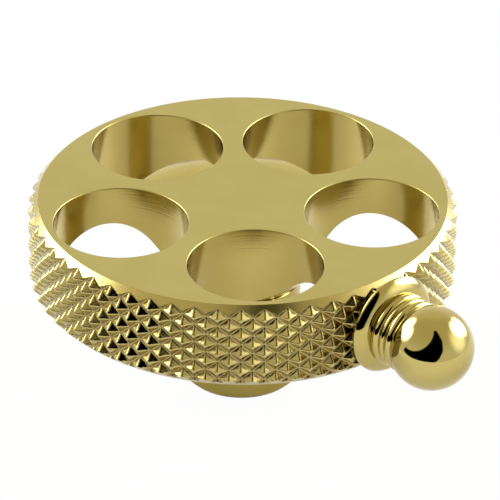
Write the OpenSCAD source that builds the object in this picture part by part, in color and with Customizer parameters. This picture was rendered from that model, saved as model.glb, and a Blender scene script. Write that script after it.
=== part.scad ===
// Faucet handle: a knurled brass handwheel with five round holes,
// a ball knob on its rim and a hub for the stem.
// Millimetres. The origin is the centre of the hub's lower end, Z points up and the knob points along X.

/* [Wheel] */
// Diameter of the plain top face
face_d = 58; // [55:0.5:64]
// Height of the rim
rim_h = 12.9; // [12:0.1:15]
// Small chamfer around the mouths of the holes
face_edge = 0.15; // [0.1:0.05:0.3]
// Slope of the turned edge that runs from the top face down into the knurl
edge_turn = 45; // [40:1:50]
// Thickness of the web over the deepest part of the groove underneath
web_t = 5.6; // [4.5:0.1:6.5]
// Radius of the groove's round section
groove_r = 9.3; // [8.6:0.05:9.6]
// Wall left between the groove and the outside, at the rim's lower edge
lip_t = 0.9; // [0.7:0.05:1.5]

/* [Holes] */
// Number of round holes
hole_count = 5; // [5:1:7]
// Narrowest width of the spoke between two holes
spoke_w = 2.95; // [2:0.05:5]
// Wall between each hole and the edge of the top face
hole_wall = 0.95; // [0.8:0.05:2]

/* [Knurl] */
// Number of diamonds around the rim
knurl_count = 58; // [50:1:66]
// Height of one diamond, corner to corner
knurl_pitch = 2.83; // [2.5:0.01:3.2]
// How far the tips of the pyramids stand out beyond the top face
knurl_out = 1.3; // [1.1:0.05:1.5]
// Height of each pyramid above its root
knurl_h = 0.82; // [0.7:0.01:0.95]
// Distance from the top face down to the first row of tips
first_row = 0.44; // [0.3:0.01:0.6]
// Plain edge left below the knurl
foot_h = 0.3; // [0.2:0.05:0.6]
// Angle of the first column of diamonds from the knob
knurl_turn = 1.64; // [0:0.01:6]
// Distance that the plain edge lies inside the knurl's root
foot_step = 0.05; // [0.02:0.01:0.15]

/* [Hub] */
// Diameter of the hub
hub_d = 15.5; // [14.5:0.1:16.5]
// Length of the hub below the wheel
hub_h = 15.9; // [14:0.1:24]
// Diameter of the spigot that is pressed into the wheel
spigot_d = 10; // [9:0.1:11]
// Length of the spigot
spigot_l = 6.8; // [5:0.1:7.5]
// How far the wheel's boss stands out over the hub at their joint
boss_step = 0.1; // [0.05:0.05:0.4]
// Chamfer on both sides of the joint between hub and wheel
joint_edge = 0.3; // [0.2:0.05:0.5]
// Chamfer around the hub's lower end
hub_edge = 0.4; // [0.2:0.05:0.8]

/* [Stem socket] */
// Diameter of the socket for the valve's stem
socket_d = 8; // [6.5:0.05:8.5]
// Depth of the socket
socket_l = 13; // [10:0.1:18]
// Chamfer at the socket's mouth
socket_edge = 0.4; // [0.2:0.05:0.8]

/* [Set screw] */
// Diameter of the set screw
screw_d = 4; // [3:0.5:5]
// Height of the set screw above the hub's lower end
screw_z = 5.5; // [4.5:0.1:7]
// Distance that the set screw is sunk below the hub's side
screw_sink = 0.25; // [0.1:0.05:0.5]
// Distance that the set screw's point stays back from the stem socket
screw_back = 0.1; // [0.05:0.05:0.3]
// Width across flats of the set screw's socket
key_w = 2; // [1.5:0.1:2]
// Depth of the set screw's socket
key_l = 1.8; // [1.2:0.1:2]

/* [Ball knob] */
// Diameter of the ball
ball_d = 11.8; // [10:0.1:14]
// Distance from the wheel's axis to the ball's centre
ball_reach = 39; // [38:0.1:44]
// Diameter of the domed flange at its widest
flange_d = 14.2; // [13:0.1:14.6]
// Diameter of the flange where it sits on the rim
seat_d = 12; // [10:0.1:12.4]
// Distance from the seat to the widest part of the flange
flange_rise = 1.4; // [1.2:0.05:1.7]
// Radius of the flange's rounded edge
flange_edge = 0.4; // [0.3:0.02:0.5]
// Radius of the dome in front of that edge
dome_r = 2.4; // [2.1:0.05:2.8]
// Slope at which the dome begins
dome_turn = 30; // [26:1:36]
// Depth that the flange is let into the tips of the knurl
seat_depth = 0.7; // [0.5:0.05:0.8]
// Diameter of the neck between flange and ball
neck_d = 9.5; // [8.6:0.1:9.8]
// Radius of each small ring's round section, from the flange to the ball
ring_edges = [0.72, 0.52, 0.75]; // [0.5:0.01:0.85]
// Height of each small ring above the neck
ring_rises = [0.62, 0.4, 0.5]; // [0.3:0.01:0.7]
// Diameter of the stud in the rim
stud_d = 3; // [2.5:0.1:3.4]
// Length of the stud
stud_l = 3.7; // [2.5:0.1:3.9]

/* [Fits] */
// Gap around the pressed spigot
press_gap = 0.02; // [0.01:0.01:0.05]
// Gap around a screwed piece, in place of its thread
thread_gap = 0.05; // [0.03:0.01:0.1]
// Gap left beyond the end of a spigot or stud
end_gap = 0.2; // [0.1:0.05:0.4]

/* [Hidden] */
BRASS = [0.76, 0.68, 0.4];
STEEL = [0.35, 0.35, 0.37];
$fn = 96;

rim_bot = hub_h;
rim_top = rim_bot + rim_h;
face_r = face_d / 2;

// The hole circle follows from the walls that the holes leave
hole_pitch_r = (face_r - hole_wall + spoke_w / 2) / (1 + sin(180 / hole_count));
hole_r = face_r - hole_wall - hole_pitch_r;
cut_over = 1;

// The groove's section is a circle centred below the rim, met by a cone that rises from the boss
groove_z = rim_top - web_t - groove_r;
groove_c = face_r - lip_t - sqrt(groove_r ^ 2 - (rim_bot - groove_z) ^ 2);
hub_r = hub_d / 2;
boss_r = hub_r + boss_step;
boss_to_c = [groove_c - boss_r, groove_z - rim_bot];
boss_dist = norm(boss_to_c);
boss_slope = atan2(boss_to_c.y, boss_to_c.x) + asin(groove_r / boss_dist);
groove_sink = 0.02;
boss_meet = [groove_c, groove_z] + (groove_r - groove_sink) * [-sin(boss_slope), cos(boss_slope)];

// The knurl is a ring of pyramids on a core, cut by the turned edge above and by the plain edge below
knurl_lap = 0.3;
tip_r = face_r + knurl_out;
root_r = tip_r - knurl_h;
core_r = root_r - knurl_lap;
ring_r = core_r - knurl_lap;
foot_r = root_r - foot_step;
blank_r = tip_r + knurl_lap;
edge_drop = (blank_r - face_r) * tan(edge_turn);
row_h = knurl_pitch / 2;
row_count = ceil((rim_h - first_row) / row_h) + 1;
col_count = 2 * knurl_count;
col_turn = 360 / col_count;
ring_top = rim_top - first_row + row_h;
ring_bot = ring_top - row_count * row_h;

spigot_r = spigot_d / 2;
spigot_bore_r = spigot_r + press_gap;
spigot_edge = 0.4;
socket_r = socket_d / 2;
screw_r = screw_d / 2;
screw_end = socket_r + screw_back;
screw_head = hub_r - screw_sink;
point_h = 0.5;

knob_z = rim_top - rim_h / 2;
seat_x = tip_r - seat_depth;
stud_r = stud_d / 2;
ball_r = ball_d / 2;
neck_r = neck_d / 2;

// The flange's edge is a small circle, which a large circle meets to make the dome in front of it
flange_out = flange_d / 2;
edge_c = [flange_out - flange_edge, seat_x + flange_rise];
dome_sink = 0.003;
dome_c = edge_c + (flange_edge - dome_r - dome_sink) * [cos(dome_turn), sin(dome_turn)];
dome_from = edge_c.y + flange_edge * sin(dome_turn);
dome_fill = dome_from + flange_edge / 2;
back_turn = 40;
back_sink = 0.02;
back_meet = edge_c + (flange_edge - back_sink) * [cos(back_turn), -sin(back_turn)];

// The rings stand close enough to cross, and the first one crosses the dome
ring_pack = 0.94;
ring_lap = 0.13;
ring_start = dome_c.y + dome_r - ring_lap;

// Point of a plain circle with the knurl's columns
function circle_point(r, j, z) = let (a = knurl_turn + j * col_turn) [r * cos(a), r * sin(a), z];

// Point of the knurl's surface in a row and column: tips alternate with the corners between them
function knurl_point(i, j) = circle_point((i + j) % 2 == 0 ? tip_r : root_r, j, ring_top - i * row_h);

// Index of a point in the ring's list of points
function at(row, j) = row * col_count + j % col_count;

module knurl_ring() {
    points = concat(
        [for (j = [0 : col_count - 1]) circle_point(ring_r, j, ring_top)],
        [for (i = [0 : row_count], j = [0 : col_count - 1]) knurl_point(i, j)],
        [for (j = [0 : col_count - 1]) circle_point(ring_r, j, ring_bot)]
    );
    last = row_count + 2;
    plain = [for (j = [0 : col_count - 1], row = [0, last - 1, last])
        [at(row, j), at(row, j + 1), at((row + 1) % (last + 1), j + 1), at((row + 1) % (last + 1), j)]];
    // Each cell is split along the groove that joins its two corners
    flanks = [for (i = [0 : row_count - 1], j = [0 : col_count - 1], half = [0, 1])
        let (a = at(i + 1, j), b = at(i + 1, j + 1), c = at(i + 2, j + 1), d = at(i + 2, j))
        (i + j) % 2 == 1 ? (half == 0 ? [a, b, c] : [a, c, d]) : (half == 0 ? [a, b, d] : [b, c, d])];
    polyhedron(points, concat(plain, flanks), convexity = 6);
}

// Half section of the wheel as turned, before the knurl is cut into its outside
module wheel_section() {
    difference() {
        polygon([
            [0, rim_bot],
            [foot_r, rim_bot],
            [foot_r, rim_bot + foot_h],
            [blank_r, rim_bot + foot_h],
            [blank_r, rim_top - edge_drop],
            [face_r, rim_top],
            [0, rim_top]
        ]);
        translate([groove_c, groove_z]) circle(r = groove_r);
        polygon([
            [boss_r - joint_edge, rim_bot - cut_over],
            [boss_r - joint_edge, rim_bot],
            [boss_r, rim_bot + joint_edge],
            boss_meet,
            [groove_c, boss_meet.y],
            [groove_c, rim_bot - cut_over]
        ]);
        translate([0, rim_bot - cut_over]) square([spigot_bore_r, cut_over + spigot_l + end_gap]);
    }
}

module hole_cuts() {
    for (k = [0 : hole_count - 1]) rotate((k + 0.5) * 360 / hole_count) translate([hole_pitch_r, 0, 0]) {
        translate([0, 0, rim_bot - cut_over]) cylinder(r = hole_r, h = rim_h + 2 * cut_over);
        translate([0, 0, rim_top - face_edge])
            cylinder(r1 = hole_r, r2 = hole_r + face_edge + cut_over, h = face_edge + cut_over);
    }
}

module along_x(x) {
    translate([x, 0, knob_z]) rotate([0, 90, 0]) children();
}

module wheel() {
    color(BRASS) difference() {
        intersection() {
            rotate_extrude() wheel_section();
            union() {
                translate([0, 0, rim_bot - cut_over]) cylinder(r = core_r, h = rim_h + 2 * cut_over);
                knurl_ring();
            }
        }
        hole_cuts();
        along_x(seat_x) cylinder(r = flange_out + thread_gap, h = ball_r);
        along_x(seat_x - stud_l - end_gap) cylinder(r = stud_r + thread_gap, h = stud_l + ball_r);
    }
}

module hub_section() {
    difference() {
        polygon([
            [0, 0],
            [hub_r - hub_edge, 0],
            [hub_r, hub_edge],
            [hub_r, rim_bot - joint_edge],
            [hub_r - joint_edge, rim_bot],
            [spigot_r, rim_bot],
            [spigot_r, rim_bot + spigot_l - spigot_edge],
            [spigot_r - spigot_edge, rim_bot + spigot_l],
            [0, rim_bot + spigot_l]
        ]);
        translate([0, -cut_over]) square([socket_r, socket_l + cut_over]);
        polygon([
            [0, -cut_over],
            [socket_r + socket_edge + cut_over, -cut_over],
            [socket_r, socket_edge],
            [0, socket_edge]
        ]);
    }
}

module across_hub(x) {
    translate([-x, 0, screw_z]) rotate([0, -90, 0]) children();
}

module hub() {
    color(BRASS) difference() {
        rotate_extrude() hub_section();
        across_hub(0) cylinder(r = screw_r + thread_gap, h = hub_d);
    }
}

module set_screw() {
    color(STEEL) across_hub(screw_end) difference() {
        union() {
            cylinder(r1 = screw_r - point_h, r2 = screw_r, h = point_h);
            translate([0, 0, point_h]) cylinder(r = screw_r, h = screw_head - screw_end - point_h);
        }
        translate([0, 0, screw_head - screw_end - key_l])
            cylinder(d = key_w / cos(30), h = key_l + cut_over, $fn = 6);
    }
}

// Distance along the neck from the first ring's start to the middle of the ring in place k
function ring_mid(k) = ring_pack * (k == 0 ? ring_edges[0] : ring_edges[k - 1] + ring_edges[k])
    + (k == 0 ? 0 : ring_mid(k - 1));

// Half section of the knob: radius to the right, distance from the wheel's axis upward
module knob_section() {
    intersection() {
        union() {
            polygon([
                [0, seat_x],
                [seat_d / 2, seat_x],
                back_meet,
                edge_c,
                [edge_c.x, dome_fill],
                [0, dome_fill]
            ]);
            translate(edge_c) circle(r = flange_edge);
            intersection() {
                translate(dome_c) circle(r = dome_r);
                translate([0, dome_from]) square([flange_d, dome_r]);
            }
            translate([0, seat_x]) square([neck_r, ball_reach - seat_x]);
            for (k = [0 : len(ring_edges) - 1])
                translate([neck_r + ring_rises[k] - ring_edges[k], ring_start + ring_mid(k)])
                    circle(r = ring_edges[k]);
            translate([0, ball_reach]) circle(r = ball_r);
        }
        translate([0, seat_x]) square([flange_d, 2 * ball_reach]);
    }
    translate([0, seat_x - stud_l]) square([stud_r, stud_l + flange_edge]);
}

module ball_knob() {
    color(BRASS) along_x(0) rotate_extrude() knob_section();
}

wheel();
hub();
set_screw();
ball_knob();
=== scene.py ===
"""Dresses a knurled brass faucet handle: a wheel with round holes, a hub, a set screw and a ball knob."""

from __future__ import annotations

import logging
import math
from dataclasses import dataclass, field
from enum import Enum
from typing import Any, Iterable, Sequence

import bpy
from mathutils import Matrix, Vector
from mathutils.geometry import delaunay_2d_cdt


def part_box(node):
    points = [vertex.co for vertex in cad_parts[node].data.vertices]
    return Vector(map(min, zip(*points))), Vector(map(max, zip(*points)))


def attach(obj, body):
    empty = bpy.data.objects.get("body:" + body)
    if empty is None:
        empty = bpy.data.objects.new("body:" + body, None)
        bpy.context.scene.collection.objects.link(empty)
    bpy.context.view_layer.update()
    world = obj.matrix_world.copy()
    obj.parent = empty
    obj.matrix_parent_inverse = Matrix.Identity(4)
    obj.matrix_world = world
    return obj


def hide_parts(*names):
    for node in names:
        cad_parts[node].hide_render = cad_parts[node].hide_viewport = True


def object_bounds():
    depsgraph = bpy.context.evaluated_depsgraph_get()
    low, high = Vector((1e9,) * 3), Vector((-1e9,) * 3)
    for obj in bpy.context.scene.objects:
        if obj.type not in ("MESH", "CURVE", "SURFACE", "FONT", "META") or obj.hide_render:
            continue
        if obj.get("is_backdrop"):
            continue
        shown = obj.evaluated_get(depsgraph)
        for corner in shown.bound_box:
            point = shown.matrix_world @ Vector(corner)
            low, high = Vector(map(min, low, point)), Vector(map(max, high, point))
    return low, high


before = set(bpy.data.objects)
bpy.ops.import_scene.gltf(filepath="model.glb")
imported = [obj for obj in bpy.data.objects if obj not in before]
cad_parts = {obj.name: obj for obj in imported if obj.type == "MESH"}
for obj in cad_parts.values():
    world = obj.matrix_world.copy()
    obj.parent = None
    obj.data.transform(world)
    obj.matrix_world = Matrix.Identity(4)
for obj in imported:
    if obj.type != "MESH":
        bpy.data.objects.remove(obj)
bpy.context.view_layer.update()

log = logging.getLogger("faucet_handle")
MM = 0.001
SAME_POINT = 1e-9
LEAST_RISE = 1e-6
BOSS_OVER_HUB = 0.02 * MM
SEAT_CLEARANCE = 0.05 * MM

Pair = tuple[float, float]
Point = tuple[float, float, float]
Corner = tuple[Point, Point]
Colour = tuple[float, float, float]
Sheet = tuple[list[Vector], list[list[int]]]
WHITE: Colour = (1.0, 1.0, 1.0)
BLACK: Colour = (0.0, 0.0, 0.0)


class Socket:
    """A node's output, with operators that add the nodes of an expression."""

    def __init__(self, graph: Graph, link: bpy.types.NodeSocket) -> None:
        """Keeps the graph and the output that this value stands for."""
        self.graph = graph
        self.link = link

    def math(self, operation: str, *others: Socket | float) -> Socket:
        """Adds one Math node.

        Args:
            operation: the Math node's operation.
            others: the values after this one.

        Returns:
            The node's value.
        """
        settings = {"operation": operation}
        return self.graph.node("ShaderNodeMath", settings, dict(enumerate((self, *others))))

    def __add__(self, other: Socket | float) -> Socket:
        """Adds two values."""
        return self.math("ADD", other)

    __radd__ = __add__

    def __rsub__(self, other: float) -> Socket:
        """Takes this value from a number."""
        return self.graph.node("ShaderNodeMath", {"operation": "SUBTRACT"}, {0: other, 1: self})

    def __mul__(self, other: Socket | float) -> Socket:
        """Multiplies two values."""
        return self.math("MULTIPLY", other)

    def __truediv__(self, other: Socket | float) -> Socket:
        """Divides this value by the other."""
        return self.math("DIVIDE", other)

    def __pow__(self, other: Socket | float) -> Socket:
        """Raises this value to a power."""
        return self.math("POWER", other)

    def either(self, other: Socket | float) -> Socket:
        """Gives the larger of two values."""
        return self.math("MAXIMUM", other)

    def both(self, other: Socket | float) -> Socket:
        """Gives the smaller of two values."""
        return self.math("MINIMUM", other)

    def step(self, low: float, high: float) -> Socket:
        """Rises smoothly from 0 at low to 1 at high."""
        inputs = {"Value": self, "From Min": low, "From Max": high}
        return self.graph.node("ShaderNodeMapRange", {"interpolation_type": "SMOOTHSTEP"}, inputs)

    def dot(self, direction: Sequence[float]) -> Socket:
        """Gives this vector's share along a direction."""
        settings = {"operation": "DOT_PRODUCT"}
        return self.graph.node("ShaderNodeVectorMath", settings, {0: self, 1: direction}, "Value")


class Graph:
    """A node tree, filled by one method that makes any node."""

    def __init__(self, tree: bpy.types.NodeTree) -> None:
        """Empties the tree."""
        self.tree = tree
        tree.nodes.clear()

    def node(
        self,
        kind: str,
        settings: dict[str, Any] | None = None,
        inputs: dict[str | int, Any] | None = None,
        output: str | int = 0,
    ) -> Socket | None:
        """Makes one node.

        Args:
            kind: the node's type.
            settings: its properties, which are set first.
            inputs: its sockets, by name or place, as values or links.
            output: the output to give back.

        Returns:
            The output, or None where the node has none.
        """
        made = self.tree.nodes.new(kind)
        for name, value in (settings or {}).items():
            setattr(made, name, value)
        for place, value in (inputs or {}).items():
            if isinstance(value, Socket):
                self.tree.links.new(value.link, made.inputs[place])
            else:
                made.inputs[place].default_value = value
        return Socket(self, made.outputs[output]) if len(made.outputs) else None

    def mix(self, factor: Socket | float, low: Any, high: Any) -> Socket:
        """Mixes two colours.

        Args:
            factor: 0 gives the first colour and 1 the second.
            low: the first colour, as a link or four numbers.
            high: the second colour.

        Returns:
            The mixed colour.
        """
        return self.node("ShaderNodeMix", {"data_type": "RGBA"}, {0: factor, 6: low, 7: high}, 2)

    def noise(self, where: Socket, scale: float, detail: float = 2.0) -> Socket:
        """Gives smooth noise between 0 and 1 at a place."""
        return self.node("ShaderNodeTexNoise", None, {"Vector": where, "Scale": scale, "Detail": detail})

    def reach(self, place: Socket) -> Socket:
        """Gives a place's distance from the wheel's axis."""
        flat = self.node("ShaderNodeVectorMath", {"operation": "MULTIPLY"}, {0: place, 1: (1, 1, 0)})
        return self.node("ShaderNodeVectorMath", {"operation": "LENGTH"}, {0: flat}, "Value")

    def metal(self, inputs: dict[str, Any]) -> None:
        """Ends the graph with a metal surface, which has these inputs."""
        shade = self.node("ShaderNodeBsdfPrincipled", None, {"Metallic": 1.0, **inputs})
        self.node("ShaderNodeOutputMaterial", None, {"Surface": shade})


def rgba(colour: Colour) -> tuple[float, float, float, float]:
    """Gives a colour with full cover."""
    return (*colour, 1.0)


def new_material(name: str) -> tuple[bpy.types.Material, Graph]:
    """Gives a new material and its empty graph."""
    material = bpy.data.materials.new(name)
    material.use_nodes = True
    return material, Graph(material.node_tree)


def put_in_scene(name: str, data: bpy.types.ID) -> bpy.types.Object:
    """Makes an object of a mesh or camera and puts it in the scene."""
    made = bpy.data.objects.new(name, data)
    bpy.context.scene.collection.objects.link(made)
    return made


class Lathe(Enum):
    """How a surface was turned, which sets the way its tool lines run."""

    AROUND_Z = "lines around the wheel's axis"
    AROUND_X = "lines around the knob's axis"
    ACROSS_FACE = "rings on a flat face"
    ALONG_GROOVES = "lines along both sets of the knurl's grooves"


# Noise in the brass: tool lines, wide patches of tone, fine smears of polish, and the least share of the
# painted shade in the knurl's grooves
LINE_DETAIL = 3.0
PATCH_SCALE = 120.0
PATCH_EDGES = (0.35, 0.7)
PATCH_TONE = 0.6
SMEAR_SCALE = 900.0
SMEAR_DETAIL = 4.0
SMEAR_HEIGHT = 0.5
SMEAR_BLUR = 0.6
GROOVE_SHADE_LEAST = 0.4


@dataclass(frozen=True)
class Brass:
    """A turned and polished brass finish.

    Attributes:
        name: the material's name.
        lathe: the way its tool lines run.
        colour: the bright metal's colour.
        toned: the colour where the metal has darkened a little.
        roughness: its blur, at its most polished.
        roughness_range: how much the blur grows where the polish is worn.
        line_pitch: the usual distance between tool lines, in metres.
        line_depth: the lines' depth, in metres.
        lacquer: cover of the clear lacquer, from 0 to 1.
        groove_shade: how much painted shade darkens the knurl's grooves, from 0 to 1.
        groove_shade_colour: the colour of the painted shade in the grooves.
        groove_shade_r: radii between which the painted shade in the grooves fades out.
        rim_r: radius of a knurled rim.
        lean: rise of the knurl's grooves for each metre around the rim.
    """

    name: str
    lathe: Lathe
    colour: Colour = (0.465, 0.388, 0.134)
    toned: Colour = (0.43, 0.345, 0.108)
    roughness: float = 0.1
    roughness_range: float = 0.08
    line_pitch: float = 0.12 * MM
    line_depth: float = 0.4e-6
    lacquer: float = 0.0
    groove_shade: float = 0.0
    groove_shade_colour: Colour = (0.16, 0.11, 0.035)
    groove_shade_r: Pair = (29.5 * MM, 29.85 * MM)
    rim_r: float = 29.7 * MM
    lean: float = 0.88

    def lines(self, graph: Graph, place: Socket) -> Socket:
        """Gives the height of the tool lines.

        Args:
            graph: the material's graph.
            place: the point on the surface.

        Returns:
            A height of about 0 to 1.
        """
        heights = []
        for across in self.across(graph, place):
            inputs = {"W": across / self.line_pitch, "Scale": 1.0, "Detail": LINE_DETAIL}
            heights.append(graph.node("ShaderNodeTexNoise", {"noise_dimensions": "1D"}, inputs))
        return sum(heights[1:], heights[0]) / len(heights)

    def across(self, graph: Graph, place: Socket) -> list[Socket]:
        """Gives the distances across each set of tool lines.

        Args:
            graph: the material's graph.
            place: the point on the surface.

        Returns:
            One distance for each set, in metres.
        """
        if self.lathe is Lathe.ACROSS_FACE:
            return [graph.reach(place)]
        if self.lathe is Lathe.ALONG_GROOVES:
            turn = place.dot((0, 1, 0)).math("ARCTAN2", place.dot((1, 0, 0))) * self.rim_r
            rise = place.dot((0, 0, 1))
            return [turn * self.lean + rise, turn * -self.lean + rise]
        return [place.dot((1, 0, 0) if self.lathe is Lathe.AROUND_X else (0, 0, 1))]

    def make(self) -> bpy.types.Material:
        """Builds the material.

        Returns:
            The material.
        """
        material, graph = new_material(self.name)
        place = graph.node("ShaderNodeTexCoord", None, None, "Object")
        patch = graph.noise(place, PATCH_SCALE).step(*PATCH_EDGES)
        smear = graph.noise(place, SMEAR_SCALE, SMEAR_DETAIL)
        height = self.lines(graph, place) + smear * SMEAR_HEIGHT
        tone = graph.mix(patch * PATCH_TONE, rgba(self.colour), rgba(self.toned))
        # Painted shade: the metal darkens towards the knurl's grooves, below the rim's root, unevenly along
        # the smears
        if self.groove_shade:
            groove_shade_mask = 1.0 - graph.reach(place).step(*self.groove_shade_r)
            tone = graph.mix(groove_shade_mask * (smear + GROOVE_SHADE_LEAST) * self.groove_shade, tone, rgba(self.groove_shade_colour))
        worn = smear * SMEAR_BLUR + patch * (1.0 - SMEAR_BLUR)
        relief = {"Strength": 1.0, "Distance": self.line_depth, "Height": height}
        graph.metal({
            "Base Color": tone,
            "Roughness": self.roughness + worn * self.roughness_range,
            "Coat Weight": self.lacquer,
            "Coat Roughness": self.roughness,
            "Normal": graph.node("ShaderNodeBump", None, relief),
        })
        return material


@dataclass(frozen=True)
class BlackSteel:
    """The darkened steel of the set screw.

    Attributes:
        name: the material's name.
        colour: the steel's colour.
        worn: its colour where the blacking has rubbed away.
        roughness: its blur where it is rubbed least.
        roughness_range: how much the blur grows with rubbing.
        rub_scale: closeness of the rubbed spots.
        rub_detail: finer layers in the spots.
        rub_edges: noise levels at which a spot begins and is bare.
        rub_depth: the spots' depth, in metres.
    """

    name: str = "blackened_steel"
    colour: Colour = (0.06, 0.06, 0.065)
    worn: Colour = (0.28, 0.28, 0.29)
    roughness: float = 0.3
    roughness_range: float = 0.2
    rub_scale: float = 1500.0
    rub_detail: float = 4.0
    rub_edges: Pair = (0.5, 0.75)
    rub_depth: float = 2e-6

    def make(self) -> bpy.types.Material:
        """Builds the material.

        Returns:
            The material.
        """
        material, graph = new_material(self.name)
        place = graph.node("ShaderNodeTexCoord", None, None, "Object")
        rub = graph.noise(place, self.rub_scale, self.rub_detail)
        graph.metal({
            "Base Color": graph.mix(rub.step(*self.rub_edges), rgba(self.colour), rgba(self.worn)),
            "Roughness": self.roughness + rub * self.roughness_range,
            "Normal": graph.node("ShaderNodeBump", None, {"Distance": self.rub_depth, "Height": rub}),
        })
        return material


def spread(low: float, high: float, count: int) -> list[float]:
    """Gives evenly spaced values from low to high."""
    return [low + (high - low) * i / (count - 1) for i in range(count)]


def full_turn(count: int) -> list[float]:
    """Gives evenly spaced angles around a circle, in degrees."""
    return [360.0 * i / count for i in range(count)]


def around(radius: float, angle: float, z: float) -> Point:
    """Gives a point around the wheel's axis, with the angle in degrees."""
    a = math.radians(angle)
    return (radius * math.cos(a), radius * math.sin(a), z)


def from_above(radius: float, angle: float) -> Vector:
    """Gives a point around the wheel's axis, as it is seen from above."""
    return Vector(around(radius, angle, 0)[:2])


def ring(r: float, z: float, angles: Sequence[float], out: float, up: float) -> list[Corner]:
    """Gives a ring of corners around the axis, whose normals lean by out and up."""
    return [(around(r, a, z), around(out, a, up)) for a in angles]


def loop_edges(first: int, count: int) -> list[tuple[int, int]]:
    """Gives the edges of a closed loop of points, from the number of its first point."""
    return [(first + i, first + (i + 1) % count) for i in range(count)]


def triangles(points: list[Vector], edges: list[tuple[int, int]]) -> Sheet:
    """Joins flat points into triangles that keep to the edges, and gives the points and the triangles."""
    co, _, faces, *_ = delaunay_2d_cdt(points, edges, [], 0, SAME_POINT)
    return co, faces


def middle(corners: list[Vector]) -> Vector:
    """Gives the middle of a flat triangle."""
    return sum(corners, Vector((0, 0))) / len(corners)


@dataclass
class Draft:
    """Faces collected for one mesh, each with its corners' normals and its finish."""

    points: list[Point] = field(default_factory=list)
    faces: list[tuple[int, ...]] = field(default_factory=list)
    normals: list[Point] = field(default_factory=list)
    slots: list[int] = field(default_factory=list)
    _index: dict[tuple[int, int, int], int] = field(default_factory=dict)

    WELD = 1e-7

    def point(self, co: Sequence[float]) -> int:
        """Adds a point, unless it is there already.

        Args:
            co: its place.

        Returns:
            The point's number.
        """
        key = (round(co[0] / self.WELD), round(co[1] / self.WELD), round(co[2] / self.WELD))
        if key not in self._index:
            self._index[key] = len(self.points)
            self.points.append((co[0], co[1], co[2]))
        return self._index[key]

    def face(self, corners: Sequence[Corner], slot: int) -> None:
        """Adds one face and turns it to suit its normals.

        Args:
            corners: each corner's place and normal.
            slot: the finish's place in the mesh's list.
        """
        numbers = [self.point(co) for co, _ in corners]
        kept = [i for i, n in enumerate(numbers) if n != numbers[i - 1]]
        if len({numbers[i] for i in kept}) < 3:
            return
        a, b, c = (Vector(corners[i][0]) for i in (kept[0], kept[1], kept[-1]))
        if (b - a).cross(c - a).dot(Vector(corners[kept[0]][1])) < 0:
            kept.reverse()
        self.faces.append(tuple(numbers[i] for i in kept))
        self.normals.extend(tuple(Vector(corners[i][1]).normalized()) for i in kept)
        self.slots.append(slot)

    def strip(self, rows: Sequence[Sequence[Corner]], slot: int) -> None:
        """Adds the faces between closed rings of corners.

        Args:
            rows: the rings, all with as many corners.
            slot: the finish's place in the mesh's list.
        """
        for low, high in zip(rows, rows[1:]):
            for j in range(len(low)):
                self.face([low[j - 1], low[j], high[j], high[j - 1]], slot)

    def turn(self, section: Iterable[tuple[Pair, Pair, Pair]], angles: Sequence[float], slot: int) -> None:
        """Adds the walls that straight lines make when they turn around the axis.

        Args:
            section: each line's two ends, as radius and height, and its normal, as out and up.
            angles: the points around the axis.
            slot: the finish's place in the mesh's list.
        """
        for first, last, (out, up) in section:
            self.strip([ring(r, z, angles, out, up) for r, z in (first, last)], slot)

    def make(self, name: str, materials: Sequence[bpy.types.Material]) -> bpy.types.Object:
        """Turns the faces into an object.

        Args:
            name: the object's name.
            materials: the finishes, in the order of their places.

        Returns:
            The object, in the scene.
        """
        mesh = bpy.data.meshes.new(name)
        mesh.from_pydata(self.points, [], self.faces)
        for material in materials:
            mesh.materials.append(material)
        mesh.polygons.foreach_set("material_index", self.slots)
        mesh.polygons.foreach_set("use_smooth", [True] * len(self.faces))
        mesh.normals_split_custom_set(self.normals)
        return put_in_scene(name, mesh)


class WheelFinish(Enum):
    """The places of the wheel's finishes in its mesh."""

    FACE = 0
    BORE = 1
    KNURL = 2
    GROOVE = 3
    EDGE = 4


WHEEL_BRASS: dict[WheelFinish, Brass] = {
    WheelFinish.FACE: Brass(
        "faced_brass", Lathe.ACROSS_FACE, (0.465, 0.41, 0.153), (0.43, 0.366, 0.124),
        roughness=0.28, roughness_range=0.06,
    ),
    # Painted shade: the hole walls' brass is a darker copy of the other brass, for the shade inside the
    # holes
    WheelFinish.BORE: Brass(
        "bored_brass_painted_shade", Lathe.AROUND_Z, (0.45, 0.365, 0.11), (0.425, 0.325, 0.085),
        roughness=0.14, line_pitch=0.26 * MM, line_depth=9e-6, lacquer=0.45,
    ),
    # The knurl gets painted shade in its grooves
    WheelFinish.KNURL: Brass(
        "knurled_brass", Lathe.ALONG_GROOVES, roughness=0.07, roughness_range=0.08,
        line_pitch=0.2 * MM, line_depth=26e-6, lacquer=0.75, groove_shade=0.5,
    ),
    WheelFinish.GROOVE: Brass("grooved_brass", Lathe.ACROSS_FACE, roughness=0.14, line_depth=1.0e-6),
    WheelFinish.EDGE: Brass("edge_brass", Lathe.ACROSS_FACE, roughness=0.22, lacquer=0.5),
}
HUB_BRASS = Brass(
    "hub_brass_turned", Lathe.AROUND_Z, (0.47, 0.38, 0.115), (0.43, 0.335, 0.09), roughness=0.12
)
KNOB_BRASS = Brass(
    "knob_brass_polished", Lathe.AROUND_X, roughness=0.05, roughness_range=0.05, lacquer=0.35
)

# Rings of points on the wheel's face edge, hole mouths, hole walls, groove and boss
BEAD_RINGS = 4
MOUTH_RINGS = 5
WALL_RINGS = 3
ARC_RINGS = 40
BOSS_RINGS = 8


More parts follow.
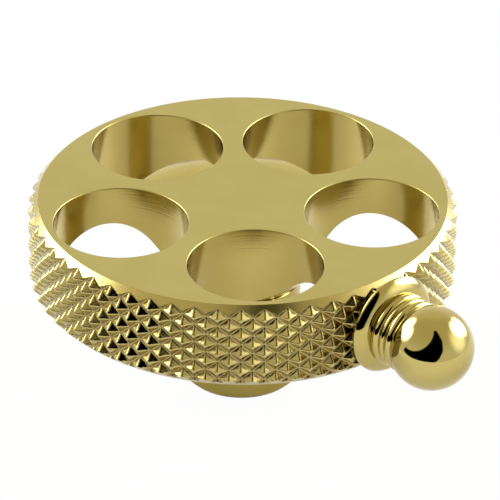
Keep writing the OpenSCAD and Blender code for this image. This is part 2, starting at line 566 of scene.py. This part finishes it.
@dataclass
class Wheel:
    """The knurled disc, on the CAD solid's face, height and holes, with a finer knurl, groove and edges.

    Attributes:
        top: height of the top face.
        bottom: height of the rim's lower edge.
        boss_r: radius of the boss at its lower end.
        seat_r: radius of the knob's seat.
        face_r: radius of the top face.
        edge: rounding of the face's edge and of the holes' mouths.
        hole_count: number of holes.
        hole_wall: wall between each hole and the face's edge.
        spoke_w: narrowest width between two holes.
        web_t: thickness of the web over the groove.
        groove_r: radius of the groove's section.
        lip_t: wall outside the groove at the rim's lower edge.
        boss_up: how far the boss ends above the rim's lower edge.
        joint_edge: chamfer at the joint with the hub.
        bore_r: radius of the hole for the hub's spigot.
        bore_l: depth of that hole.
        knurl_count: diamonds around the rim.
        knurl_pitch: height of a diamond.
        knurl_out: how far the pyramids' tips stand out beyond the face.
        knurl_h: height of a pyramid above the grooves' floor.
        knurl_turn: angle of the first column.
        knurl_steps: faces across half a diamond.
        floor_w: half width of a groove's floor, in half diamonds.
        land_w: half width of the flat left on a tip, in half diamonds.
        wear: how far the pyramids' edges are worn round, in half diamonds.
        slope_step: reach over which the knurl's slope is measured, in half diamonds.
        edge_lean: outward lean of the rim's two turned edges, for each metre of height.
        edge_step: step of the search for a turned edge's meeting with the knurl.
        first_row: depth of the first row of tips below the face.
        seat_out: how far the knob's seat lies outside the face's edge.
        hole_sides: points around a hole.
        grid_sides: points around the groove underneath.
        grid_clear: distance that the groove's points keep from a hole.
    """

    top: float
    bottom: float
    boss_r: float
    seat_r: float
    face_r: float = 29.0 * MM
    edge: float = 0.15 * MM
    hole_count: int = 5
    hole_wall: float = 0.95 * MM
    spoke_w: float = 2.95 * MM
    web_t: float = 5.71 * MM
    groove_r: float = 9.12 * MM
    lip_t: float = 0.9 * MM
    boss_up: float = 0.33 * MM
    joint_edge: float = 0.13 * MM
    bore_r: float = 5.02 * MM
    bore_l: float = 7.0 * MM
    knurl_count: int = 58
    knurl_pitch: float = 2.83 * MM
    knurl_out: float = 1.38 * MM
    knurl_h: float = 0.9 * MM
    knurl_turn: float = 1.64
    knurl_steps: int = 8
    floor_w: float = 0.03
    land_w: float = 0.18
    wear: float = 0.04
    slope_step: float = 0.03
    edge_lean: float = 1.0
    edge_step: float = 0.005 * MM
    first_row: float = 0.44 * MM
    seat_out: float = 0.6 * MM
    hole_sides: int = 240
    grid_sides: int = 240
    grid_clear: float = 0.12 * MM

    def __post_init__(self) -> None:
        """Works out the sizes that follow from the others."""
        half = math.sin(math.pi / self.hole_count)
        self.hole_pitch_r = (self.face_r - self.hole_wall + self.spoke_w / 2) / (1 + half)
        self.hole_r = self.face_r - self.hole_wall - self.hole_pitch_r
        self.lean = math.atan(self.edge_lean)
        self.flat_r = self.face_r - self.edge * math.tan(math.pi / 4 - self.lean / 2)
        self.root_r = self.face_r + self.knurl_out - self.knurl_h
        self.rim_h = self.top - self.bottom
        self.row_h = self.knurl_pitch / 2
        self.col_turn = 180.0 / self.knurl_count
        self.groove_z = self.top - self.web_t - self.groove_r
        self.groove_out = self.face_r - self.lip_t
        rise = self.bottom - self.groove_z
        self.groove_c = self.groove_out - math.sqrt(self.groove_r**2 - rise**2)
        self.joint_z = self.bottom + self.boss_up
        to_c = Vector((self.groove_c - self.boss_r, self.groove_z - self.joint_z - self.joint_edge))
        self.boss_slope = math.atan2(to_c.y, to_c.x) + math.asin(self.groove_r / to_c.length)
        self.boss_meet_r = self.groove_c - self.groove_r * math.sin(self.boss_slope)
        self.seat_x = self.face_r + self.seat_out
        self.seat_z = (self.top + self.bottom) / 2
        self.columns = [j / self.knurl_steps for j in range(2 * self.knurl_count * self.knurl_steps)]
        self.whole_rows = math.floor(self.row(self.rim_h)) - 1
        self.rows = [i / self.knurl_steps for i in range((self.whole_rows + 1) * self.knurl_steps + 1)]
        self.angles = [self.angle(u) for u in self.columns]
        self.hole_angles = full_turn(self.hole_sides)
        hole_turns = [(k + 0.5) * 360.0 / self.hole_count for k in range(self.hole_count)]
        self.centres = [from_above(self.hole_pitch_r, a) for a in hole_turns]
        self.draft = Draft()

    def angle(self, u: float) -> float:
        """Gives the angle of a knurl column, in degrees."""
        return self.knurl_turn + u * self.col_turn

    def groove(self, r: float) -> Pair:
        """Gives the groove's section.

        Args:
            r: the distance from the axis.

        Returns:
            The groove's height and slope there.
        """
        if r <= self.boss_meet_r:
            slope = math.tan(self.boss_slope)
            return self.joint_z + self.joint_edge + (r - self.boss_r) * slope, slope
        off = r - self.groove_c
        rise = math.sqrt(max(self.groove_r**2 - off**2, LEAST_RISE**2))
        return self.groove_z + rise, -off / rise

    def height(self, u: float, v: float) -> float:
        """Gives the height of a sharp pyramid above the grooves' floor.

        Args:
            u: the column, in half diamonds.
            v: the row, in half diamonds.

        Returns:
            The height.
        """
        column, row = math.floor(u), math.floor(v)
        x, y = u - column, v - row
        share = abs(x - y) if (column + row) % 2 == 0 else abs(1 - x - y)
        rise = (share - self.floor_w) / (1 - self.floor_w - self.land_w)
        return self.knurl_h * min(max(rise, 0.0), 1.0)

    def worn(self, u: float, v: float) -> float:
        """Gives the height of a pyramid whose edges are worn round, as height does for a sharp one."""
        e = self.wear
        places = ((u, v), (u + e, v), (u - e, v), (u, v + e), (u, v - e))
        return sum(self.height(x, y) for x, y in places) / len(places)

    def edge_r(self, depth: float) -> float:
        """Gives the radius of the turned edges at a depth below the face."""
        return self.face_r + self.edge_lean * min(depth, self.rim_h - depth)

    def edge_row(self, u: float, below: bool) -> float:
        """Gives the row at which the upper or lower turned edge meets the knurl.

        Args:
            u: the column, in half diamonds.
            below: whether it is the lower edge.

        Returns:
            The row, in half diamonds.
        """
        depth = (self.root_r - self.face_r) / self.edge_lean
        step = self.edge_step
        if below:
            depth = self.rim_h - depth
            step = -step
        while self.root_r + self.height(u, self.row(depth)) > self.edge_r(depth):
            depth += step
        return self.row(depth)

    def row(self, depth: float) -> float:
        """Gives the knurl's row at a depth below the face."""
        return (depth - self.first_row) / self.row_h

    def fitted_row(self, v: float, crown: float, heel: float) -> float:
        """Fits the first and the last row of diamonds between the turned edges.

        Args:
            v: a row, in half diamonds.
            crown: the row at which the upper edge meets the knurl.
            heel: the row at which the lower edge meets it.

        Returns:
            The row after the fit.
        """
        last = self.whole_rows
        if v > last:
            return last + (heel - last) * (v - last)
        return crown + (1 - crown) * v if v < 1 else v

    def knurl_corner(self, u: float, v: float) -> Corner:
        """Gives a corner of the knurl's surface, cut flat under the knob.

        Args:
            u: the column, in half diamonds.
            v: the row, in half diamonds.

        Returns:
            The corner's place and normal.
        """
        step = self.slope_step
        depth = self.first_row + v * self.row_h
        h = min(self.worn(u, v), self.edge_r(depth) - self.root_r)
        place = Vector(around(self.root_r + h, self.angle(u), self.top - depth))
        if place.x > self.seat_x and math.hypot(place.y, place.z - self.seat_z) < self.seat_r:
            place.x = self.seat_x
        out = Vector(around(1.0, self.angle(u), 0.0))
        along = Vector(around(1.0, self.angle(u) + 90.0, 0.0))
        width = math.radians(self.col_turn) * self.root_r
        du = (self.worn(u + step, v) - self.worn(u - step, v)) / (2 * step * width)
        dv = (self.worn(u, v + step) - self.worn(u, v - step)) / (2 * step * self.row_h)
        return tuple(place), tuple(out - along * du + Vector((0, 0, dv)))

    def edge_rings(self, start: float, rows: Sequence[float], up: int) -> list[list[Corner]]:
        """Gives the two outlines of a turned edge.

        Args:
            start: the depth below the face at which the edge begins.
            rows: the row at which it meets the knurl, for each column.
            up: 1 for the upper edge and -1 for the lower one.

        Returns:
            The plain outline and the one along the knurl.
        """
        meeting = [self.first_row + row * self.row_h for row in rows]
        return [
            [
                (around(self.edge_r(depth), a, self.top - depth), around(1.0, a, up * self.edge_lean))
                for a, depth in zip(self.angles, depths)
            ]
            for depths in ([start] * len(rows), meeting)
        ]

    def draw_knurl(self) -> None:
        """Adds the turned edges and the diamonds between them."""
        ends = [(self.edge_row(u, False), self.edge_row(u, True)) for u in self.columns]
        rows = [
            [self.knurl_corner(u, self.fitted_row(v, *end)) for u, end in zip(self.columns, ends)]
            for v in self.rows
        ]
        start = self.edge * (1 - math.sin(self.lean))
        upper = self.edge_rings(start, [crown for crown, _ in ends], 1)
        lower = self.edge_rings(self.rim_h, [heel for _, heel in ends], -1)
        rows[0] = [(high[0], low[1]) for high, low in zip(upper[1], rows[0])]
        rows[-1] = [(low[0], high[1]) for low, high in zip(lower[1], rows[-1])]
        self.draft.strip(upper, WheelFinish.EDGE.value)
        self.draft.strip(rows, WheelFinish.KNURL.value)
        self.draft.strip(lower, WheelFinish.EDGE.value)

    def draw_rim(self) -> None:
        """Adds the rounding at the face's edge and the lip underneath."""
        bead = []
        for turn in spread(math.pi / 2, self.lean, BEAD_RINGS):
            out, up = math.cos(turn), math.sin(turn)
            r, z = self.flat_r + self.edge * out, self.top - self.edge * (1 - up)
            bead.append(ring(r, z, self.angles, out, up))
        self.draft.strip(bead, WheelFinish.EDGE.value)
        lip = ((self.face_r, self.bottom), (self.groove_out, self.bottom), (0, -1))
        self.draft.turn([lip], self.angles, WheelFinish.GROOVE.value)

    def sheet(self, inner: list[Vector], outer: list[Vector], hole_r: float, grid: list[Vector]) -> Sheet:
        """Fills a ring around the axis with triangles and leaves out the holes.

        Args:
            inner: the ring's inner edge, or nothing for a disc.
            outer: the ring's outer edge.
            hole_r: the holes' radius.
            grid: points to use inside.

        Returns:
            The points, seen from above, and the triangles.
        """
        loops = [outer, inner] if inner else [outer]
        for centre in self.centres:
            loops.append([centre + from_above(hole_r, a) for a in self.hole_angles])
        points: list[Vector] = []
        edges: list[tuple[int, int]] = []
        for loop in loops:
            edges += loop_edges(len(points), len(loop))
            points += loop
        co, faces = triangles(points + grid, edges)
        hollow = inner[0].length if inner else 0.0
        rim = outer[0].length

        def solid(face: Sequence[int]) -> bool:
            """Tells whether a triangle is in the metal."""
            spot = middle([co[i] for i in face])
            return hollow < spot.length < rim and all((spot - c).length > hole_r for c in self.centres)

        return co, [f for f in faces if solid(f)]

    def draw_face(self) -> None:
        """Adds the plain top face, up to the rounded mouths of the holes."""
        outer = [from_above(self.flat_r, a) for a in self.angles]
        co, faces = self.sheet([], outer, self.hole_r + self.edge, [])
        for f in faces:
            self.draft.face([((*co[i], self.top), (0, 0, 1)) for i in f], WheelFinish.FACE.value)

    def draw_hole(self, centre: Vector) -> None:
        """Adds a hole's mouth and its wall, down to the groove.

        Args:
            centre: the hole's centre, seen from above.
        """

        def corner(r: float, a: float, z: float, out: float, up: float) -> Corner:
            """Gives a corner around the hole, whose normal leans by out and up."""
            x, y, _ = around(r, a, 0)
            return (centre.x + x, centre.y + y, z), around(out, a, up)

        mouth_r, level = self.hole_r + self.edge, self.top - self.edge
        mouth = []
        for turn in spread(math.pi / 2, 0.0, MOUTH_RINGS):
            out, up = math.cos(turn), math.sin(turn)
            r, z = mouth_r - self.edge * out, level + self.edge * up
            mouth.append([corner(r, a, z, -out, up) for a in self.hole_angles])
        self.draft.strip(mouth, WheelFinish.FACE.value)
        ends = []
        for a in self.hole_angles:
            x, y, _ = around(self.hole_r, a, 0)
            ends.append((a, self.groove(math.hypot(centre.x + x, centre.y + y))[0]))
        wall = [
            [corner(self.hole_r, a, level + (end - level) * share, -1, 0) for a, end in ends]
            for share in spread(0.0, 1.0, WALL_RINGS)
        ]
        self.draft.strip(wall, WheelFinish.BORE.value)

    def draw_groove(self) -> None:
        """Adds the round groove underneath, with the holes left open, and the end of the boss."""
        start = math.asin((self.bottom - self.groove_z) / self.groove_r)
        turns = spread(start, math.pi / 2 + self.boss_slope, ARC_RINGS)
        arc = [self.groove_c + self.groove_r * math.cos(t) for t in turns]
        radii = spread(self.boss_r, self.boss_meet_r, BOSS_RINGS) + list(reversed(arc))
        sides = full_turn(self.grid_sides)
        clear = self.hole_r + self.grid_clear
        grid = [
            p
            for r in radii[1:-1]
            for p in (from_above(r, a) for a in sides)
            if all((p - c).length > clear for c in self.centres)
        ]
        inner = [from_above(self.boss_r, a) for a in sides]
        outer = [from_above(self.groove_out, a) for a in self.angles]
        co, faces = self.sheet(inner, outer, self.hole_r, grid)

        def corner(p: Vector) -> Corner:
            """Lifts a point to the groove and gives its normal."""
            z, slope = self.groove(p.length)
            out = p.normalized() * slope
            return (p.x, p.y, z), (out.x, out.y, -1.0)

        for f in faces:
            self.draft.face([corner(co[i]) for i in f], WheelFinish.GROOVE.value)
        low = self.joint_z
        crown = self.bottom + self.bore_l
        neck_r = self.boss_r - self.joint_edge
        section = [
            ((self.boss_r, low + self.joint_edge), (neck_r, low), (1, -1)),
            ((neck_r, low), (self.bore_r, low), (0, -1)),
            ((self.bore_r, low), (self.bore_r, crown), (-1, 0)),
        ]
        self.draft.turn(section, sides, WheelFinish.GROOVE.value)
        self.draft.face(ring(self.bore_r, crown, sides, 0, -1), WheelFinish.GROOVE.value)

    def build(self, finishes: Sequence[bpy.types.Material]) -> bpy.types.Object:
        """Builds the wheel in place of its CAD node.

        Args:
            finishes: the materials, in the order of WheelFinish.

        Returns:
            The wheel.
        """
        self.draw_face()
        self.draw_rim()
        self.draw_knurl()
        for centre in self.centres:
            self.draw_hole(centre)
        self.draw_groove()
        made = self.draft.make("knurled_wheel", finishes)
        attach(made, "root")
        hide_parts("wheel")
        return made


@dataclass
class Hub:
    """The turned hub under the wheel, with a socket for the valve's stem and a cross hole for the set screw.

    Attributes:
        top: height of the joint with the wheel.
        body_r: radius of its body.
        edge: chamfer at its lower end.
        joint_edge: chamfer at the joint.
        joint_gap: slit left at the joint.
        spigot_r: radius of the spigot inside the wheel.
        spigot_l: length of the spigot.
        socket_r: radius of the stem's socket.
        socket_l: depth of the socket.
        socket_edge: chamfer at the socket's mouth.
        screw_r: radius of the cross hole.
        screw_z: height of the cross hole.
        sides: points around the hub.
        wall_rings: rings of points on a wall.
        screw_sides: points around the cross hole.
        screw_clear: reach around the cross hole's middle without other points, in screw_r.
    """

    top: float
    body_r: float = 8.45 * MM
    edge: float = 0.53 * MM
    joint_edge: float = 0.13 * MM
    joint_gap: float = 0.12 * MM
    spigot_r: float = 5.0 * MM
    spigot_l: float = 6.4 * MM
    socket_r: float = 4.0 * MM
    socket_l: float = 13.0 * MM
    socket_edge: float = 0.4 * MM
    screw_r: float = 2.03 * MM
    screw_z: float = 5.5 * MM
    sides: int = 240
    wall_rings: int = 14
    screw_sides: int = 64
    screw_clear: float = 1.15

    def __post_init__(self) -> None:
        """Starts with no faces."""
        self.draft = Draft()

    def mouth(self, r: float) -> list[Corner]:
        """Gives the cross hole's edge on a round wall.

        Args:
            r: the wall's radius.

        Returns:
            The edge's corners, with the normals of the hole's own wall.
        """
        edge = []
        for t in (2 * math.pi * i / self.screw_sides for i in range(self.screw_sides)):
            y, z = self.screw_r * math.cos(t), self.screw_r * math.sin(t)
            edge.append(((-math.sqrt(r**2 - y**2), y, self.screw_z + z), (0.0, -y, -z)))
        return edge

    def draw_wall(self, r: float, low: float, high: float, out: int) -> None:
        """Adds a round wall with the cross hole left open.

        Args:
            r: the wall's radius.
            low: height of its lower end.
            high: height of its upper end.
            out: 1 for a wall that faces outwards and -1 for one that faces inwards.
        """
        columns = spread(-math.pi * r, math.pi * r, self.sides + 1)
        border = [Vector((s, low)) for s in columns] + [Vector((s, high)) for s in reversed(columns)]
        hole = [Vector((r * math.asin(y / r), z)) for (_, y, z), _ in self.mouth(r)]
        centre = Vector((0.0, self.screw_z))
        grid = [Vector((s, z)) for z in spread(low, high, self.wall_rings)[1:-1] for s in columns[1:-1]]
        grid = [p for p in grid if (p - centre).length > self.screw_clear * self.screw_r]
        edges = loop_edges(0, len(border)) + loop_edges(len(border), len(hole))
        co, faces = triangles(border + hole + grid, edges)

        def is_open(spot: Vector) -> bool:
            """Tells whether a place on the unrolled wall lies in the cross hole."""
            off = math.hypot(r * math.sin(spot.x / r), spot.y - self.screw_z)
            return off < self.screw_r and abs(spot.x) < r

        for f in faces:
            if is_open(middle([co[i] for i in f])):
                continue
            corners = []
            for s, z in (co[i] for i in f):
                x, y = -math.cos(s / r), math.sin(s / r)
                corners.append(((r * x, r * y, z), (out * x, out * y, 0.0)))
            self.draft.face(corners, 0)

    def build(self, finish: bpy.types.Material) -> bpy.types.Object:
        """Builds the hub in place of its CAD node.

        Args:
            finish: the material.

        Returns:
            The hub.
        """
        seat = self.top - self.joint_gap
        crown = self.top + self.spigot_l
        angles = full_turn(self.sides)
        self.draw_wall(self.body_r, self.edge, seat - self.joint_edge, 1)
        self.draw_wall(self.socket_r, self.socket_edge, self.socket_l, -1)
        self.draft.strip([self.mouth(self.body_r), self.mouth(self.socket_r)], 0)
        mouth_r = self.socket_r + self.socket_edge
        foot_r = self.body_r - self.edge
        neck_r = self.body_r - self.joint_edge
        section = [
            ((self.socket_r, self.socket_edge), (mouth_r, 0.0), (-1, -1)),
            ((mouth_r, 0.0), (foot_r, 0.0), (0, -1)),
            ((foot_r, 0.0), (self.body_r, self.edge), (1, -1)),
            ((self.body_r, seat - self.joint_edge), (neck_r, seat), (1, 1)),
            ((neck_r, seat), (self.spigot_r, seat), (0, 1)),
            ((self.spigot_r, seat), (self.spigot_r, crown), (1, 0)),
        ]
        self.draft.turn(section, angles, 0)
        self.draft.face(ring(self.spigot_r, crown, angles, 0, 1), 0)
        self.draft.face(ring(self.socket_r, self.socket_l, angles, 0, -1), 0)
        made = self.draft.make("turned_hub", [finish])
        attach(made, "root")
        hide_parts("hub")
        return made


@dataclass
class TurnedPiece:
    """A CAD piece that keeps its solid and gets a finish.

    Attributes:
        node: the piece's CAD node.
        finish: its finish.
    """

    node: str
    finish: Brass | BlackSteel

    def dress(self) -> bpy.types.Object:
        """Gives the piece its finish.

        Returns:
            The piece.
        """
        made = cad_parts[self.node]
        made.data.materials.clear()
        made.data.materials.append(self.finish.make())
        return made


@dataclass(frozen=True)
class PhotoView:
    """The photograph's viewpoint, set out from the top face's centre.

    Attributes:
        azimuth: direction of the camera around the object, in degrees.
        elevation: its height above the horizon, in degrees.
        roll: its turn about its own line of sight, in degrees.
        distance: its distance, in metres.
        aim_right: how far the picture's middle lies right of the top face's centre, in metres.
        aim_up: how far it lies above, in metres.
        lens: focal length, in millimetres.
        sensor: width of the sensor, in millimetres.
        clip: the nearest and the farthest distance that the camera sees, in metres.
    """

    azimuth: float = 48.13
    elevation: float = 31.1
    roll: float = 0.73
    distance: float = 589.5 * MM
    aim_right: float = 1.02 * MM
    aim_up: float = -7.55 * MM
    lens: float = 300.0
    sensor: float = 36.0
    clip: Pair = (0.01, 20.0)

    def away(self, turn: float, height: float) -> Vector:
        """Gives a direction by its turn to the right of the line of sight and its height, in degrees."""
        e = math.radians(height)
        return Vector(around(math.cos(e), self.azimuth + 90.0 - turn, math.sin(e)))

    def make(self, target: Vector) -> bpy.types.Object:
        """Makes the camera.

        Args:
            target: the top face's centre.

        Returns:
            The camera.
        """
        back = self.away(180.0, self.elevation)
        level = self.away(90.0, 0.0)
        upright = back.cross(level)
        c, s = math.cos(math.radians(self.roll)), math.sin(math.radians(self.roll))
        right, up = level * c + upright * s, upright * c - level * s
        spot = target + back * self.distance + right * self.aim_right + up * self.aim_up
        data = bpy.data.cameras.new("photo_camera")
        data.lens = self.lens
        data.sensor_width = self.sensor
        data.clip_start, data.clip_end = self.clip
        made = put_in_scene("photo_camera", data)
        turned = Matrix((right, up, back)).transposed().to_4x4()
        made.matrix_world = Matrix.Translation(spot) @ turned
        bpy.context.scene.camera = made
        return made


@dataclass(frozen=True)
class SoftLamp:
    """A lamp that shines through the light tent's cloth.

    Attributes:
        turn: its direction to the right of the line of sight, in degrees.
        height: its height above the horizon, in degrees.
        core: radius of its bright middle, in degrees.
        skirt: radius at which its glow ends, in degrees.
        strength: its brightness.
    """

    turn: float
    height: float
    core: float
    skirt: float
    strength: float


@dataclass(frozen=True)
class LightTent:
    """A white cloth tent with lamps on both sides and an open front.

    Attributes:
        view: the photograph's viewpoint, which faces the open front.
        wall: brightness and tint of the cloth near the table.
        roof: brightness and tint of the cloth overhead.
        fade: heights between which the wall passes into the roof, as sines.
        lamps: the lamps.
        falloff: power by which a lamp's glow falls away from its middle.
        door: outline of the dark opening, as turns and heights in degrees.
        door_edge: softness of the opening's edge.
        flap: turn, height and radius of the round cloth flap that covers a part of the opening.
    """

    view: PhotoView
    wall: Colour = (0.97, 0.94, 0.87)
    roof: Colour = (0.78, 0.7, 0.46)
    fade: Pair = (0.1, 0.8)
    lamps: tuple[SoftLamp, ...] = (
        SoftLamp(-78.0, 28.0, 8.0, 22.0, 8.0),
        SoftLamp(-54.0, 29.0, 8.0, 22.0, 8.0),
        SoftLamp(68.0, 30.0, 8.0, 24.0, 8.0),
        SoftLamp(52.0, 18.0, 8.0, 22.0, 8.0),
        SoftLamp(90.0, 22.0, 5.0, 38.0, 1.3),
        SoftLamp(0.0, 33.0, 15.0, 50.0, 0.2),
    )
    falloff: float = 2.0
    door: tuple[Pair, ...] = (
        (140, 76), (143, 44), (150, 20), (162, 1), (177, -12), (205, -11), (240, -8), (261, -1), (258, 12),
    )
    door_edge: float = 0.015
    flap: tuple[float, float, float] = (252.0, 49.5, 41.0)

    def opening(self, heading: Socket) -> Socket:
        """Marks the directions inside the dark opening.

        Args:
            heading: the direction of the ray.

        Returns:
            1 inside the opening and 0 outside.
        """
        corners = [self.view.away(turn, height) for turn, height in self.door]
        centre = sum(corners, Vector((0, 0, 0)))
        inside: Socket | None = None
        for a, b in zip(corners, corners[1:] + corners[:1]):
            across = a.cross(b).normalized()
            across = across if across.dot(centre) > 0 else -across
            mask = heading.dot(across).step(-self.door_edge, self.door_edge)
            inside = mask if inside is None else inside.both(mask)
        turn, height, radius = self.flap
        limit = math.cos(math.radians(radius))
        share = heading.dot(self.view.away(turn, height))
        return inside.both(1.0 - share.step(limit - self.door_edge, limit + self.door_edge))

    def make(self) -> bpy.types.World:
        """Builds the world's light.

        Returns:
            The world.
        """
        world = bpy.data.worlds.new("light_tent")
        world.use_nodes = True
        bpy.context.scene.world = world
        graph = Graph(world.node_tree)
        heading = graph.node("ShaderNodeTexCoord", None, None, "Generated")
        cloth = graph.mix(heading.dot((0, 0, 1)).step(*self.fade), rgba(self.wall), rgba(self.roof))
        glow: Socket | float = 0.0
        for lamp in self.lamps:
            share = heading.dot(self.view.away(lamp.turn, lamp.height))
            near, far = math.cos(math.radians(lamp.core)), math.cos(math.radians(lamp.skirt))
            glow = share.step(far, near) ** self.falloff * lamp.strength + glow
        lit = graph.node("ShaderNodeVectorMath", {"operation": "ADD"}, {0: cloth, 1: glow})
        shut = graph.mix(self.opening(heading), lit, rgba(BLACK))
        seen = graph.node("ShaderNodeLightPath", None, None, "Is Camera Ray")
        shown = graph.mix(seen, shut, rgba(WHITE))
        back = graph.node("ShaderNodeBackground", None, {"Color": shown, "Strength": 1.0})
        graph.node("ShaderNodeOutputWorld", None, {"Surface": back})
        return world


@dataclass(frozen=True)
class Table:
    """The pale table top under the object.

    Attributes:
        radius: its radius, in metres.
        sides: the number of its sides.
        colour: its colour.
        plain: how much of it shows as an even white in the picture.
        mirrored: how much of it shows as an even white in the metal.
    """

    radius: float = 0.21
    sides: int = 96
    colour: Colour = (0.73, 0.73, 0.73)
    plain: float = 0.97
    mirrored: float = 0.15

    def make(self, z: float) -> bpy.types.Object:
        """Makes the table top.

        Args:
            z: the height of the object's lowest point.

        Returns:
            The table top, marked as stage.
        """
        mesh = bpy.data.meshes.new("table_top")
        outline = [around(self.radius, a, z) for a in full_turn(self.sides)]
        mesh.from_pydata(outline, [], [tuple(range(self.sides))])
        made = put_in_scene("table_top", mesh)
        material, graph = new_material("pale_table")
        camera, glossy, through = (
            graph.node("ShaderNodeLightPath", None, None, f"Is {kind} Ray")
            for kind in ("Camera", "Glossy", "Transmission")
        )
        seen = (camera * self.plain).either(glossy.either(through) * self.mirrored)
        matt = graph.node("ShaderNodeBsdfDiffuse", None, {"Color": rgba(self.colour)})
        even = graph.node("ShaderNodeEmission", None, {"Color": rgba(WHITE), "Strength": 1.0})
        both = graph.node("ShaderNodeMixShader", None, {0: seen, 1: matt, 2: even})
        graph.node("ShaderNodeOutputMaterial", None, {"Surface": both})
        mesh.materials.append(material)
        made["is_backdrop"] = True
        return made


def main() -> None:
    """Builds the handle, the light and the camera."""
    logging.basicConfig(level=logging.INFO, format="%(message)s")
    bpy.context.scene.view_settings.view_transform = "Standard"
    low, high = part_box("wheel")
    knob_low, knob_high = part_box("ball_knob")
    wheel = Wheel(
        top=high.z,
        bottom=low.z,
        boss_r=Hub.body_r + BOSS_OVER_HUB,
        seat_r=(knob_high.y - knob_low.y) / 2 + SEAT_CLEARANCE,
    )
    log.info("wheel: %s", wheel.build([WHEEL_BRASS[place].make() for place in WheelFinish]).name)
    log.info("hub: %s", Hub(wheel.joint_z).build(HUB_BRASS.make()).name)
    for piece in (TurnedPiece("ball_knob", KNOB_BRASS), TurnedPiece("set_screw", BlackSteel())):
        log.info("dressed: %s", piece.dress().name)
    view = PhotoView()
    view.make(Vector((0.0, 0.0, high.z)))
    LightTent(view).make()
    Table().make(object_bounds()[0].z)


if __name__ == "__main__":
    main()
